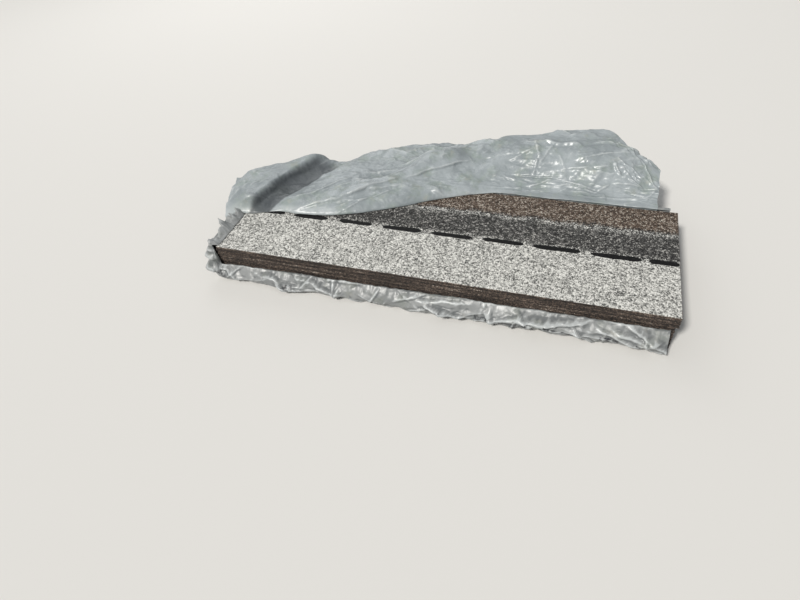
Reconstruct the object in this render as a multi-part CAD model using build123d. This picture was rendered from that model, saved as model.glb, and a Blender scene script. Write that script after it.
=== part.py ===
"""A bundle of asphalt strip shingles in the torn-open plastic film it is sold in.

The shingles lie flat, one on another, mineral side up. The film is one sheet: it runs under the
stack, is torn off low along the front, closes the left end, climbs the back, and its top is thrown
back. On the left that top is folded over on itself across the rear of the stack: a puffed lobe over
the left end, a valley, and a broad sheet with two slanting ridges. Towards the right it leaves the
back edge in a billow and drops to the floor behind. The right end is torn open.

X runs along the shingles, Y to the back, Z up. The origin is on the floor, under the middle of the
stack. Millimetres.
"""

from build123d import *
from math import exp, log, pi, sin
import os

# Shingle
shingle_length = 1000.0
shingle_width = 337.0
shingle_thickness = 3.6
shingle_count = 22
layer_gap = 0.2  # the granules keep one shingle this far off the next
end_corner = 1.5  # rounding of the corners in plan

# Beads of sealant across the top shingle
bead_line = 155.0  # from the front edge to the middle of the row
bead_width = 11.0
bead_height = 0.7
bead_length = 94.0
bead_pitch = 116.5
bead_start = 59.0  # from the left end to the first bead's middle
bead_stray = 5.0  # how much longer or shorter than usual a bead may be
bead_margin = 2.0  # the last one is cut this far from the right end

# How the layers have slid
drift_along = 0.9
drift_across = 0.8
drift_turn = 0.05  # degrees
slid_layers = 7  # the top ones, pushed out together
slid_along = 5.0

# Film
film_thickness = 0.8
film_clearance = 0.4  # between the film and the shingle under or over it
wall_clearance = 3.0  # between the film's upright sides and the mean edges of the shingles
film_corner = 6.0  # rounding of its upright corners
front_bulge = 20.0  # how far it slumps out along the foot of the front
front_bulge_height = 44.0
front_bulge_skew = 0.7  # below 1 it hangs out furthest low down
end_bulge = 14.0
bulge_steps = 8  # flats up the height of a bulging side
film_open_end = 8.0  # the film stops this far short of the shingles' right end

# Torn upper edge of the film along the front: height above the floor
tear_left = 37.0
tear_right = 54.0
tear_curve = 0.7  # below 1 it rises less and less towards the right
tear_climb = 16.0  # it climbs to the top over this length at the left corner

# Fold of the film's top: along the left part of the stack, then at a slant to the back edge
fold_depth = 157.0  # from the stack's front edge
fold_dip = 27.0  # how much nearer to the front it lies at the left end
fold_dip_run = 110.0
fold_turn = 250.0  # from the left end to where it swings towards the back
fold_exit = 555.0  # from the left end to where it meets the back edge
fold_softness = 38.0  # how gently it swings

# Shape of the film on top, heights above the layer under it
roll_height = 9.0
roll_width = 14.0
ridges = (  # start and end from the left end and the front edge, height, half width
    ((190.0, 178.0), (454.0, 413.0), 22.0, 28.0),
    ((335.0, 372.0), (590.0, 530.0), 25.0, 34.0),
)
sheet_height = 6.0  # of the broad sheet between its ridges
lobe_height = 32.0
lobe_width = 60.0  # over which it sinks to the left of its crest
lobe_side = 0.4  # share of its height that is left there
lobe_overhang = 57.0  # beyond the film's left side
lobe_splay = 60.0  # how much further it stands out towards the back
lobe_run = 220.0  # from its left side to where it has become the broad sheet
lobe_drop = 18.0  # how far the lobe hangs down at its left side
crest_place = 35.0  # from the left end, where the lobe's crest meets the fold
crest_slant = 0.32
flank_width = 24.0  # of the steep side to the right of the crest
valley_offset = 40.0  # from the crest to the middle of the valley beside it
valley_width = 30.0
valley_share = 0.8  # how far the film sinks there
crown_height = 36.0  # of the billow on the right
crown_width = 150.0
crown_fall = 0.5  # share that it loses towards the right end
open_run = 200.0  # over which it changes there
dome_height = 32.0  # of the puff in the middle of the billow
dome_reach = 40.0  # how much further it stands out there
dome_place = 810.0  # from the left end
dome_width = 170.0

# Run of the film behind the stack: at the lobe's left side, on the left, on the right, at the end
billows = (-95.0, 34.0, 178.0, 88.0)  # how far it stands out behind the back wall
reaches = (-65.0, 62.0, 258.0, 166.0)  # its free edge, from the back wall
spread_start = 60.0  # from the left end, over which the left run becomes the right one
spread_end = 430.0
drop_run = 74.0  # how far back it comes down
flap_short = 28.0  # it ends this far short of the right end
flap_columns = 36  # flats along the thrown back film, between its creases
top_rows = 11  # and across it: over the stack, down its drop, and from there to its free edge
drop_rows = 8
tail_rows = 3
drop_share = 0.7  # of the run behind the stack, at most, for the drop

stack_floor = film_thickness + film_clearance
layer_pitch = shingle_thickness + layer_gap
stack_top = stack_floor + shingle_count * layer_pitch - layer_gap
left_end = -shingle_length / 2
right_end = shingle_length / 2
front_edge = -shingle_width / 2
back_edge = shingle_width / 2
left_wall = left_end - wall_clearance
front_wall = front_edge - wall_clearance
back_wall = back_edge + wall_clearance
film_right = right_end - film_open_end
film_over = stack_top + bead_height + film_clearance  # underside of the layer on the top shingle
film_top = film_over + film_thickness
film_lie = film_thickness / 2  # underside of the film where it lies on the floor
flap_left = left_wall - lobe_overhang
flap_right = right_end - flap_short


def drift(layer):
    """How far a layer lies from the middle of the stack: along, across and turned."""
    along = drift_along * sin(2.1 * layer)
    across = drift_across * sin(1.7 * layer + 0.8)
    turn = drift_turn * sin(2.9 * layer + 0.3)
    if layer > shingle_count - slid_layers:
        along += slid_along
    return along, across, turn


def sealant_beads():
    """The broken row of sealant on the face of the top shingle."""
    row = front_edge + bead_line
    last = right_end - bead_margin
    beads = []
    start = left_end + bead_start - bead_length / 2
    turn = 0
    while start < last - bead_pitch / 4:
        length = min(bead_length + bead_stray * sin(2.3 * turn + 0.4), last - start)
        outline = SlotOverall(length, bead_width)
        place = Pos(start + length / 2, row, shingle_thickness)
        beads.append(place * extrude(outline, bead_height))
        start += bead_pitch
        turn += 1
    return beads


def shingle(layer):
    """One flat strip with its corners slightly worn round."""
    along, across, turn = drift(layer)
    height = stack_floor + (layer - 1) * layer_pitch
    strip = extrude(RectangleRounded(shingle_length, shingle_width, end_corner), shingle_thickness)
    if layer == shingle_count:
        strip += sealant_beads()
    return Pos(along, across, height) * Rot(0, 0, turn) * strip


def ease(value):
    """Smooth step from 0 to 1, level at both ends."""
    value = min(max(value, 0.0), 1.0)
    return value**3 * (value * (6 * value - 15) + 10)


def bend(value):
    """Soft corner: level before 0, rising one for one after it."""
    return fold_softness * log(1 + exp(value / fold_softness))


def tear_height(x):
    """Height of the torn front edge of the film above the floor."""
    share = max((x - left_end) / shingle_length, 0.0)
    low = tear_left + (tear_right - tear_left) * share**tear_curve
    return low + (film_top - low) * (1 - ease((x - left_wall) / tear_climb))


def fold_line(x):
    """Where the top is folded over: along the left end, then at a slant to the back edge."""
    start = front_edge + fold_depth
    slope = (back_wall - start) / (fold_exit - fold_turn)
    place = x - left_end
    dip = fold_dip * (1 - ease(place / fold_dip_run))
    return start - dip + slope * (bend(place - fold_turn) - bend(place - fold_exit))


def beyond_lobe(x):
    return ease((x - flap_left) / lobe_run)


def towards_right(x):
    return ease((x - left_end - spread_start) / (spread_end - spread_start))


def at_open_end(x):
    return ease((x - right_end + open_run) / open_run)


def dome(x):
    return exp(-(((x - left_end - dome_place) / dome_width) ** 2))


def run_behind(x, runs):
    """A length behind the back wall, which passes from one run to the next along the film."""
    lobe, left, right, end = runs
    length = lobe + (left - lobe) * beyond_lobe(x) + dome_reach * dome(x)
    return length + (right - left) * towards_right(x) + (end - right) * at_open_end(x)


def splayed(x, y):
    """The lobe's side slants out to the left towards the back."""
    depth = (y - front_edge - fold_depth) / (back_wall - front_edge - fold_depth)
    return x - lobe_splay * (1 - beyond_lobe(x)) * min(max(depth, 0.0), 1.0)


def ridge_height(x, y, start, end, height, half_width):
    """A ridge along a line: it rises over the first third and dies out past the end."""
    along_x, along_y = end[0] - start[0], end[1] - start[1]
    length = (along_x**2 + along_y**2) ** 0.5
    from_x, from_y = x - left_end - start[0], y - front_edge - start[1]
    along = (from_x * along_x + from_y * along_y) / length
    aside = (from_x * along_y - from_y * along_x) / length
    ends = ease(along / length * 3) * (1 - ease((along - length) / half_width / 3))
    return height * ends * exp(-((aside / half_width) ** 2))


def flap_height(x, y):
    """Underside of the thrown back film: over the stack, out in a billow, down to the floor."""
    behind = y - fold_line(x)
    aside = x - left_end - crest_place - crest_slant * behind
    left_side = lobe_side + (1 - lobe_side) * exp(-((min(aside, 0) / lobe_width) ** 2))
    lobe = (lobe_height - roll_height) * left_side * (1 - ease(aside / flank_width + 0.5))
    valley = exp(-(((aside - valley_offset) / valley_width) ** 2))
    folded = 1 - ease((x - left_end - fold_exit + 2 * fold_softness) / (4 * fold_softness))
    roll = roll_height * ease(behind / roll_width)
    crown = (crown_height + dome_height * dome(x)) * ease(behind / crown_width)
    crown *= 1 - crown_fall * at_open_end(x)
    raised = sheet_height + lobe + sum(ridge_height(x, y, *ridge) for ridge in ridges)
    raised = roll + raised * ease(behind / (2 * roll_width))
    hang = lobe_drop * (1 - ease((x - flap_left) / lobe_overhang))
    shape = folded * raised * (1 - valley_share * valley) + (1 - folded) * crown - hang
    top = film_over + film_lie + shape
    fall = beyond_lobe(x) * ease((y - back_wall - run_behind(x, billows)) / drop_run)
    return top + (film_lie - top) * fall


def crease_rows(x):
    """Where the creases cross one column: more of them where the film comes down."""
    lip = back_wall + run_behind(x, billows)
    free_edge = back_wall + run_behind(x, reaches)
    foot = lip + min(drop_run, drop_share * (free_edge - lip))
    places = [fold_line(x) + film_thickness / 2]
    for end, rows in ((lip, top_rows), (foot, drop_rows), (free_edge, tail_rows)):
        start = places[-1]
        places += [start + (end - start) * (row + 1) / rows for row in range(rows)]
    return places


def thrown_back_top():
    """The upper layer, from the fold over the back edge to the floor, in flats between creases."""
    under = []
    for column in range(flap_columns + 1):
        x = flap_left + (flap_right - flap_left) * column / flap_columns
        line = [Vector(splayed(x, y), y, flap_height(x, y)) for y in crease_rows(x)]
        under.append(line)
    over = [[point + Vector(0, 0, film_thickness) for point in line] for line in under]
    faces = []
    for column in range(flap_columns):
        for row in range(top_rows + drop_rows + tail_rows):
            for side in (under, over):
                near, far = side[column], side[column + 1]
                faces.append(flat(near[row], far[row], far[row + 1]))
                faces.append(flat(near[row], far[row + 1], near[row + 1]))
    for low, high in (
        (under[0], over[0]),
        (under[-1], over[-1]),
        ([line[0] for line in under], [line[0] for line in over]),
        ([line[-1] for line in under], [line[-1] for line in over]),
    ):
        for turn in range(len(low) - 1):
            faces.append(flat(low[turn], low[turn + 1], high[turn + 1], high[turn]))
    return Part() + Solid(Shell(faces))


def flat(*corners):
    """A flat face between its corners."""
    return Face(Wire.make_polygon(corners))


def folded_under():
    """The lower layer, which lies on the top shingle between the fold and the back edge."""
    steps = 12
    first = left_wall - film_corner
    last = left_end + fold_exit + 2 * fold_softness
    rear = back_wall + film_corner
    places = [first + (last - first) * step / steps for step in range(steps + 1)]
    fold = [(x, fold_line(x) - film_thickness) for x in places]
    rest = Polyline(fold[-1], (last, rear), (first, rear), fold[0])
    layer = extrude(make_face([Spline(*fold), rest]), film_thickness)
    return Pos(0, 0, film_over) * layer & bulging_block(film_thickness / 2)


def bulging_block(inset):
    """A block whose front and left side bow out, as the film does; inset moves its faces in."""
    sections = []
    for turn in range(bulge_steps + 1):
        rise = turn / bulge_steps
        bow = 4 * rise * (1 - rise)
        slump = sin(pi * min(rise * film_top / front_bulge_height, 1) ** front_bulge_skew)
        low_x = left_wall - film_thickness - end_bulge * bow + inset
        low_y = front_wall - film_thickness - front_bulge * slump + inset
        high_x = right_end + inset
        high_y = back_wall + film_thickness - inset
        outline = RectangleRounded(high_x - low_x, high_y - low_y, film_corner)
        height = inset + rise * (film_top - inset)
        sections.append(Pos((low_x + high_x) / 2, (low_y + high_y) / 2, height) * outline)
    return loft(sections, ruled=True)


def tray():
    """The film under the stack, up its front to the tear, up its left end and up its back."""
    film = bulging_block(0) - bulging_block(film_thickness)
    steps = 16
    first = left_wall - end_bulge - film_corner
    last = film_right + film_corner
    places = [first + (last - first) * step / steps for step in range(steps + 1)]
    tear = [(x, tear_height(x)) for x in places]
    sky = 2 * film_top
    above = Polyline(tear[-1], (last, sky), (first, sky), tear[0])
    front = Plane(origin=(0, front_wall + film_corner, 0), x_dir=(1, 0, 0), z_dir=(0, -1, 0))
    torn_off = extrude(front * make_face([Spline(*tear), above]), shingle_width)
    open_end = Pos(film_right, 0, 0) * Box(
        shingle_length, 2 * shingle_width, 2 * sky, align=(Align.MIN, Align.CENTER, Align.CENTER)
    )
    return film - torn_off - open_end


os.makedirs("parts", exist_ok=True)
for layer in range(1, shingle_count + 1):
    export_step(shingle(layer), f"parts/shingle_{layer:02d}.step")
export_step(tray() + folded_under() + thrown_back_top(), "parts/wrapper_film.step")
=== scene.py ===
"""The looks of a torn-open bundle of asphalt strip shingles: granules, cut edges, sealant and film.

Lengths are in metres, X along the shingles, Y to the back, Z up. The first ones repeat the part's.
"""

from math import cos, pi, radians, sin

import bpy
import numpy as np
from mathutils import Matrix, Vector


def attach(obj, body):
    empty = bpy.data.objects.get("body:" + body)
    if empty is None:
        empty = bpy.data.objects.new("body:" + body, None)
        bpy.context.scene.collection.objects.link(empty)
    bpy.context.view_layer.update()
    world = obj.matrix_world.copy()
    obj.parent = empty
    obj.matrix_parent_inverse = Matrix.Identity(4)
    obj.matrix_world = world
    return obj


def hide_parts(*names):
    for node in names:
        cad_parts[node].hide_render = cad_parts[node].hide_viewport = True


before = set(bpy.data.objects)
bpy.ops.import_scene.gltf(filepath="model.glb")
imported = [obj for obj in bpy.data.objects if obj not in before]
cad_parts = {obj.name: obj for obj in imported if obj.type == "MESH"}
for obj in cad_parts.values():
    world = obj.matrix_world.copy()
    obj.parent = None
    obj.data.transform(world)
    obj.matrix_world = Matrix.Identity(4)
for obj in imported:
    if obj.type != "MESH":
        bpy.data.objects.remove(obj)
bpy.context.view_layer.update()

# Shingles
shingle_length = 1.0
shingle_width = 0.337
shingle_thickness = 0.0036
shingle_count = 22
layer_gap = 0.0002
drift_along = 0.0009
drift_across = 0.0008
drift_turn = radians(0.05)
slid_layers = 7
slid_along = 0.005

# Sealant on the top shingle
bead_line = 0.155
bead_width = 0.011
bead_height = 0.0007
bead_length = 0.092
bead_pitch = 0.1165
bead_start = 0.059

# Film
film_thickness = 0.0008
film_clearance = 0.0004
wall_clearance = 0.003
film_corner = 0.006
front_bulge = 0.020
front_bulge_skew = 0.7
end_bulge = 0.014
film_open_end = 0.008
tear_left = 0.037
tear_right = 0.054
tear_curve = 0.7
tear_climb = 0.016
fold_depth = 0.157
fold_dip = 0.027
fold_dip_run = 0.110
fold_turn = 0.250
fold_exit = 0.555
fold_softness = 0.038
roll_height = 0.009
roll_width = 0.014
ridges = (
    ((0.190, 0.178), (0.454, 0.413), 0.022, 0.028),
    ((0.335, 0.372), (0.590, 0.530), 0.025, 0.034),
)
sheet_height = 0.006
lobe_height = 0.032
lobe_width = 0.060
lobe_side = 0.4
lobe_overhang = 0.057
lobe_splay = 0.060
lobe_run = 0.220
lobe_drop = 0.018
valley_offset = 0.040
valley_width = 0.030
valley_share = 0.8
crown_height = 0.036
crown_width = 0.150
crown_fall = 0.5
open_run = 0.200
dome_height = 0.032
dome_reach = 0.040
dome_place = 0.810
dome_width = 0.170
billows = (-0.095, 0.034, 0.178, 0.088)
reaches = (-0.065, 0.062, 0.258, 0.166)
spread_start = 0.060
spread_end = 0.430
drop_run = 0.074
drop_share = 0.7
flap_short = 0.028

# Only in the looks; the part's lobe crest is 11 mm further right, less slanted and less steep
crest_place = 0.024
crest_slant = 0.43
flank_width = 0.020
lip_height = 0.004  # of the film's rounded lip where it leaves the back edge
fold_wander = 0.004  # how far the fold strays from its line
fold_margin = 0.001  # the fold stops this far before the back wall
fold_skew = 0.45  # how much steeper a fold is on its right side
end_flare = 0.016  # how far the film stands out at the top of the left end
crest_bend = 0.0022  # height of a crest over its surroundings at which the film is painted palest, by whitening and a painted highlight; a valley as deep gets the darkest painted shade
back_lean = 0.002  # how far the back wall of film stands off
film_lift = 0.0004  # of the film under the stack, over the floor
least_height = 0.0003  # of any point of the sleeve

stack_floor = film_thickness + film_clearance
layer_pitch = shingle_thickness + layer_gap
stack_top = stack_floor + shingle_count * layer_pitch - layer_gap
left_end = -shingle_length / 2
right_end = shingle_length / 2
front_edge = -shingle_width / 2
back_edge = shingle_width / 2
left_wall = left_end - wall_clearance
front_wall = front_edge - wall_clearance
back_wall = back_edge + wall_clearance
film_right = right_end - film_open_end
film_over = stack_top + bead_height + film_clearance
film_top = film_over + film_thickness
film_lie = film_thickness / 2
flap_left = left_wall - lobe_overhang
flap_right = right_end - flap_short


# The film's shape, as the part's source has it


def ease(value):
    """Smooth step from 0 to 1, level at both ends: 10v^3 - 15v^4 + 6v^5."""
    value = np.clip(value, 0.0, 1.0)
    return value**3 * (value * (6 * value - 15) + 10)


def mix(low, high, share):
    return low + (high - low) * share


def bend(value):
    """Soft corner: level before 0, rising one for one after it."""
    return fold_softness * np.logaddexp(0.0, value / fold_softness)


def tear_height(x):
    """Height of the torn front edge: a slow rise to the right, a climb at the left corner."""
    share = np.clip((x - left_end) / shingle_length, 0.0, 1.0)
    low = mix(tear_left, tear_right, share**tear_curve)
    return low + (film_top - low) * (1 - ease((x - left_wall) / tear_climb))


def fold_line(x):
    """Where the top is folded over: along the left end, then at a slant to the back edge."""
    start = front_edge + fold_depth
    slope = (back_wall - start) / (fold_exit - fold_turn)
    place = x - left_end
    dip = fold_dip * (1 - ease(place / fold_dip_run))
    return start - dip + slope * (bend(place - fold_turn) - bend(place - fold_exit))


def beyond_lobe(x):
    return ease((x - flap_left) / lobe_run)


def towards_right(x):
    return ease((x - left_end - spread_start) / (spread_end - spread_start))


def at_open_end(x):
    return ease((x - right_end + open_run) / open_run)


def dome(x):
    return np.exp(-(((x - left_end - dome_place) / dome_width) ** 2))


def run_behind(x, runs):
    """A length behind the back wall, which passes from one run to the next along the film."""
    lobe, left, right, end = runs
    length = mix(lobe, left, beyond_lobe(x)) + dome_reach * dome(x)
    return length + (right - left) * towards_right(x) + (end - right) * at_open_end(x)


def splayed(x, y):
    """The lobe's side slants out to the left towards the back."""
    depth = (y - front_edge - fold_depth) / (back_wall - front_edge - fold_depth)
    return x - lobe_splay * (1 - beyond_lobe(x)) * np.clip(depth, 0.0, 1.0)


def folded_share(x):
    """1 where the top is folded over on itself, 0 where it leaves the back edge."""
    return 1 - ease((x - left_end - fold_exit + 2 * fold_softness) / (4 * fold_softness))


def ridge_height(x, y, start, end, height, half_width):
    """A ridge along a line: it rises over the first third and dies out past the end."""
    along_x, along_y = end[0] - start[0], end[1] - start[1]
    length = np.hypot(along_x, along_y)
    from_x, from_y = x - left_end - start[0], y - front_edge - start[1]
    along = (from_x * along_x + from_y * along_y) / length
    aside = (from_x * along_y - from_y * along_x) / length
    ends = ease(along / length * 3) * (1 - ease((along - length) / half_width / 3))
    return height * ends * np.exp(-((aside / half_width) ** 2))


def nose(behind, width):
    """Quarter of an ellipse: upright where the roll begins, level at its width."""
    return np.sqrt(np.clip(1 - (1 - np.clip(behind / width, 0.0, 1.0)) ** 2, 0.0, 1.0))


def flap_height(x, y):
    """The part's thrown back film, but with a round nose along its fold."""
    behind = y - fold_line(x)
    aside = x - left_end - crest_place - crest_slant * behind
    left_side = mix(lobe_side, 1.0, np.exp(-((np.minimum(aside, 0) / lobe_width) ** 2)))
    lobe = (lobe_height - roll_height) * left_side * (1 - ease(aside / flank_width + 0.5))
    valley = np.exp(-(((aside - valley_offset) / valley_width) ** 2))
    folded = folded_share(x)
    roll = roll_height * nose(behind, roll_width)
    crown = (crown_height + dome_height * dome(x)) * ease(behind / crown_width)
    crown = crown * (1 - crown_fall * at_open_end(x))
    crown = crown + lip_height * nose(behind, roll_width)
    raised = sheet_height + lobe + sum(ridge_height(x, y, *ridge) for ridge in ridges)
    raised = roll + raised * ease(behind / (2 * roll_width))
    hang = lobe_drop * (1 - ease((x - flap_left) / lobe_overhang))
    shape = folded * raised * (1 - valley_share * valley) + (1 - folded) * crown - hang
    top = film_over + film_lie + shape
    fall = beyond_lobe(x) * ease((y - back_wall - run_behind(x, billows)) / drop_run)
    return top + (film_lie - top) * fall


# Crumpling

lattice_layers, lattice_size = 8, 64
lattice = np.random.default_rng(2196).random((lattice_layers, lattice_size, lattice_size))
dent_rounding = 0.03


def pick(layer, i, j):
    """Random numbers from 0 to 1 that belong to lattice points."""
    return lattice[layer % lattice_layers, i % lattice_size, j % lattice_size]


def turned(s, t, size, heading, stretch):
    """Lattice coordinates whose cells are `size` wide and `stretch` times as long."""
    u = (s * cos(heading) + t * sin(heading)) / (size * stretch)
    v = (t * cos(heading) - s * sin(heading)) / size
    return u, v


def swell(s, t, size, layer):
    """Smooth noise from -1 to 1: random heights on a lattice, eased in between."""
    u, v = s / size, t / size
    i, j = np.floor(u).astype(int), np.floor(v).astype(int)
    a, b = ease(u - i), ease(v - j)
    near = mix(pick(layer, i, j), pick(layer, i + 1, j), a)
    far = mix(pick(layer, i, j + 1), pick(layer, i + 1, j + 1), a)
    return 2 * mix(near, far, b) - 1


def facets(s, t, size, layer, heading=0.0, stretch=1.0):
    """Flat triangles between random heights from -1 to 1, which meet in sharp creases.

    Smooth noise warps the places first, so that the triangles are uneven.
    """
    warp = 0.35 * size
    s = s + warp * swell(s, t, 1.7 * size, layer + 1)
    t = t + warp * swell(s, t, 1.9 * size, layer + 2)
    u, v = turned(s, t, size, heading, stretch)
    i, j = np.floor(u).astype(int), np.floor(v).astype(int)
    a, b = u - i, v - j
    first, last = pick(layer, i, j), pick(layer, i + 1, j + 1)
    right = first * (1 - a) + pick(layer, i + 1, j) * (a - b) + last * b
    left = first * (1 - b) + pick(layer, i, j + 1) * (b - a) + last * a
    return 2 * np.where(a > b, right, left) - 1


def dents(s, t, size, layer, heading=0.0, stretch=1.0):
    """Distance to the nearest of scattered points, in cells: smooth dents with creases between."""
    u, v = turned(s, t, size, heading, stretch)
    i, j = np.floor(u).astype(int), np.floor(v).astype(int)
    nearest = np.full(np.shape(u), np.inf)
    for di in (-1, 0, 1):
        for dj in (-1, 0, 1):
            a = i + di + pick(layer, i + di, j + dj) - u
            b = j + dj + pick(layer + 3, i + di, j + dj) - v
            nearest = np.minimum(nearest, a**2 + b**2)
    return np.sqrt(nearest + dent_rounding)


def crumple(s, t, height, size, layer, heading, stretch=1.6):
    """Creases at three scales, about `height` up and down: facets, facets half as wide and dents."""
    return height * (
        0.50 * facets(s, t, size, layer, heading, stretch)
        + 0.28 * facets(s, t, 0.52 * size, layer + 1, heading + 0.5, stretch)
        + 0.45 * (dents(s, t, 0.62 * size, layer + 2, heading - 0.3, stretch) - 0.5)
    )


# Meshes


def in_scene(name, data):
    """An object for a mesh, a lamp or a camera."""
    holder = bpy.data.objects.new(name, data)
    bpy.context.scene.collection.objects.link(holder)
    return holder


def mesh_piece(name, points, faces, finishes, finish_of=None, uv=None, smooth=True, **marks):
    """A piece from an array of points and an array of faces, with its marks as point attributes."""
    mesh = bpy.data.meshes.new(name)
    mesh.from_pydata(points.reshape(-1, 3).tolist(), [], faces)
    for finish in finishes:
        mesh.materials.append(finish)
    if finish_of is not None:
        mesh.polygons.foreach_set("material_index", np.asarray(finish_of, dtype=np.int32))
    mesh.polygons.foreach_set("use_smooth", np.full(len(mesh.polygons), smooth))
    if uv is not None:
        corner = np.empty(len(mesh.loops), dtype=np.int32)
        mesh.loops.foreach_get("vertex_index", corner)
        layer = mesh.uv_layers.new(name="UVMap")
        layer.uv.foreach_set("vector", uv.reshape(-1, 2)[corner].ravel())
    for mark, values in marks.items():
        attribute = mesh.attributes.new(mark, "FLOAT", "POINT")
        attribute.data.foreach_set("value", values.astype(np.float32).ravel())
    mesh.update()
    return in_scene(name, mesh)


def grid_faces(columns, rows, closed=False, first=0, flip=False):
    """Quads of a grid whose points run down each column; closed joins the last one to the first."""
    turns = columns if closed else columns - 1
    column, row = np.meshgrid(np.arange(turns), np.arange(rows - 1), indexing="ij")
    beside = (column + 1) % columns
    corners = [column * rows + row, beside * rows + row]
    corners += [beside * rows + row + 1, column * rows + row + 1]
    if flip:
        corners.reverse()
    return (first + np.stack(corners, axis=-1).reshape(-1, 4)).tolist()


def points_of(x, y, z):
    """A grid of points from coordinates that may each be a line, a column or a grid."""
    return np.stack(np.broadcast_arrays(x, y, z), axis=-1)


def outwards(points):
    """Unit normals of a grid of points, by the cross product of its two directions."""
    across = np.gradient(points, axis=0)
    along = np.gradient(points, axis=1)
    normal = np.cross(across, along)
    return normal / np.maximum(np.linalg.norm(normal, axis=-1, keepdims=True), 1e-12)


def run_along(points):
    """Distance covered down each column of a grid, from its first point."""
    steps = np.linalg.norm(np.diff(points, axis=1), axis=-1)
    return np.pad(np.cumsum(steps, axis=1), ((0, 0), (1, 0)))


def crest_mark(moved, step):
    """1 on sharp crests, 0 in sharp valleys, 0.5 on flats: the height over the mean some steps off."""
    wide = sum(np.roll(moved, shift, axis) for axis in (0, 1) for shift in (-step, step)) / 4
    return np.clip(0.5 + (moved - wide) / crest_bend, 0, 1)


# Materials


class Value:
    """One output of a material's node. Arithmetic on it adds Math nodes."""

    def __init__(self, finish, socket):
        self.finish = finish
        self.socket = socket

    def maths(self, operation, *values, clamp=False):
        settings = {"operation": operation, "use_clamp": clamp}
        return self.finish.node("ShaderNodeMath", settings, *values)

    def __add__(self, other):
        return self.maths("ADD", self, other)

    __radd__ = __add__

    def __sub__(self, other):
        return self.maths("SUBTRACT", self, other)

    def __rsub__(self, other):
        return self.maths("SUBTRACT", other, self)

    def __mul__(self, other):
        return self.maths("MULTIPLY", self, other)

    __rmul__ = __mul__

    def __truediv__(self, other):
        return self.maths("DIVIDE", self, other)

    def __gt__(self, other):
        return self.maths("GREATER_THAN", self, other)

    def __lt__(self, other):
        return self.maths("LESS_THAN", self, other)

    def limited(self):
        """Kept from 0 to 1."""
        return self.maths("ADD", self, 0.0, clamp=True)

    def rise(self, low, high):
        """0 below low, 1 above high, smooth in between."""
        settings = {"interpolation_type": "SMOOTHSTEP"}
        return self.finish.node("ShaderNodeMapRange", settings, self, low, high, 0.0, 1.0)


class Finish:
    """A material. Its shader's constants are set on its own sockets."""

    def __init__(self, name, constants):
        self.material = bpy.data.materials.new(name)
        self.material.use_nodes = True
        self.tree = self.material.node_tree
        self.shader = self.tree.nodes["Principled BSDF"]
        for socket, value in constants.items():
            self.shader.inputs[socket].default_value = value

    def node(self, kind, settings, *values, output=0, **named):
        """Adds a node: its settings, then its inputs in order or by name; gives one output."""
        node = self.tree.nodes.new(kind)
        for setting, value in settings.items():
            setattr(node, setting, value)
        inputs = [*enumerate(values)]
        inputs += [(name.replace("_", " "), value) for name, value in named.items()]
        for place, value in inputs:
            self.feed(node.inputs[place], value)
        return Value(self, node.outputs[output])

    def feed(self, socket, value):
        """Links an output to a socket, or sets the socket to a constant."""
        if isinstance(value, Value):
            self.tree.links.new(value.socket, socket)
        else:
            socket.default_value = value

    def mark(self, name):
        """A piece's own point attribute."""
        return self.node("ShaderNodeAttribute", {"attribute_name": name}, output="Fac")

    def place(self):
        """Where a point lies, in metres."""
        return self.node("ShaderNodeTexCoord", {}, output="Object")

    def axes(self, vector):
        """The three numbers of a place or a colour."""
        split = self.node("ShaderNodeSeparateXYZ", {}, vector).socket.node
        return [Value(self, output) for output in split.outputs]

    def drawn_out(self, vector, share):
        """A place with its level directions shrunk, so that a pattern on it runs in level lines."""
        x, y, z = self.axes(vector)
        return self.node("ShaderNodeCombineXYZ", {}, x * share, y * share, z)

    def cells(self, vector, size, output="Color", feature="F1"):
        """Scattered cells about `size` across: their random colour, or the distance to them."""
        settings = {"feature": feature}
        return self.node("ShaderNodeTexVoronoi", settings, Vector=vector, Scale=1 / size, output=output)

    def cloud(self, vector, size, detail=3.0, roughness=0.5, distortion=0.0):
        """Noise from 0 to 1 with patches about `size` across."""
        shape = {"Detail": detail, "Roughness": roughness, "Distortion": distortion}
        return self.node("ShaderNodeTexNoise", {}, Vector=vector, Scale=1 / size, **shape)

    def blend(self, low, high, share):
        """Colour from low to high, as share goes from 0 to 1."""
        low, high = (c if isinstance(c, Value) else (*c, 1.0) for c in (low, high))
        mixer = self.node("ShaderNodeMix", {"data_type": "RGBA"}).socket.node
        for place, value in ((0, share), (6, low), (7, high)):
            self.feed(mixer.inputs[place], value)
        return Value(self, mixer.outputs[2])

    def steps(self, share, stops):
        """Colours picked by share: each stop holds from its place on."""
        picked = self.node("ShaderNodeValToRGB", {}, share)
        ramp = picked.socket.node.color_ramp
        ramp.interpolation = "CONSTANT"
        while len(ramp.elements) < len(stops):
            ramp.elements.new(1.0)
        for element, (place, colour) in zip(ramp.elements, stops):
            element.position = place
            element.color = (*colour, 1.0)
        return picked

    def bump(self, height, depth, strength):
        """A normal bent by heights from 0 to 1 that stand for depths in metres."""
        return self.node("ShaderNodeBump", {}, Strength=strength, Distance=depth, Height=height)

    def done(self, base, roughness, normal):
        """Links what changes over the surface to the shader and gives the material."""
        for socket, value in (("Base Color", base), ("Roughness", roughness), ("Normal", normal)):
            self.tree.links.new(value.socket, self.shader.inputs[socket])
        return self.material


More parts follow.
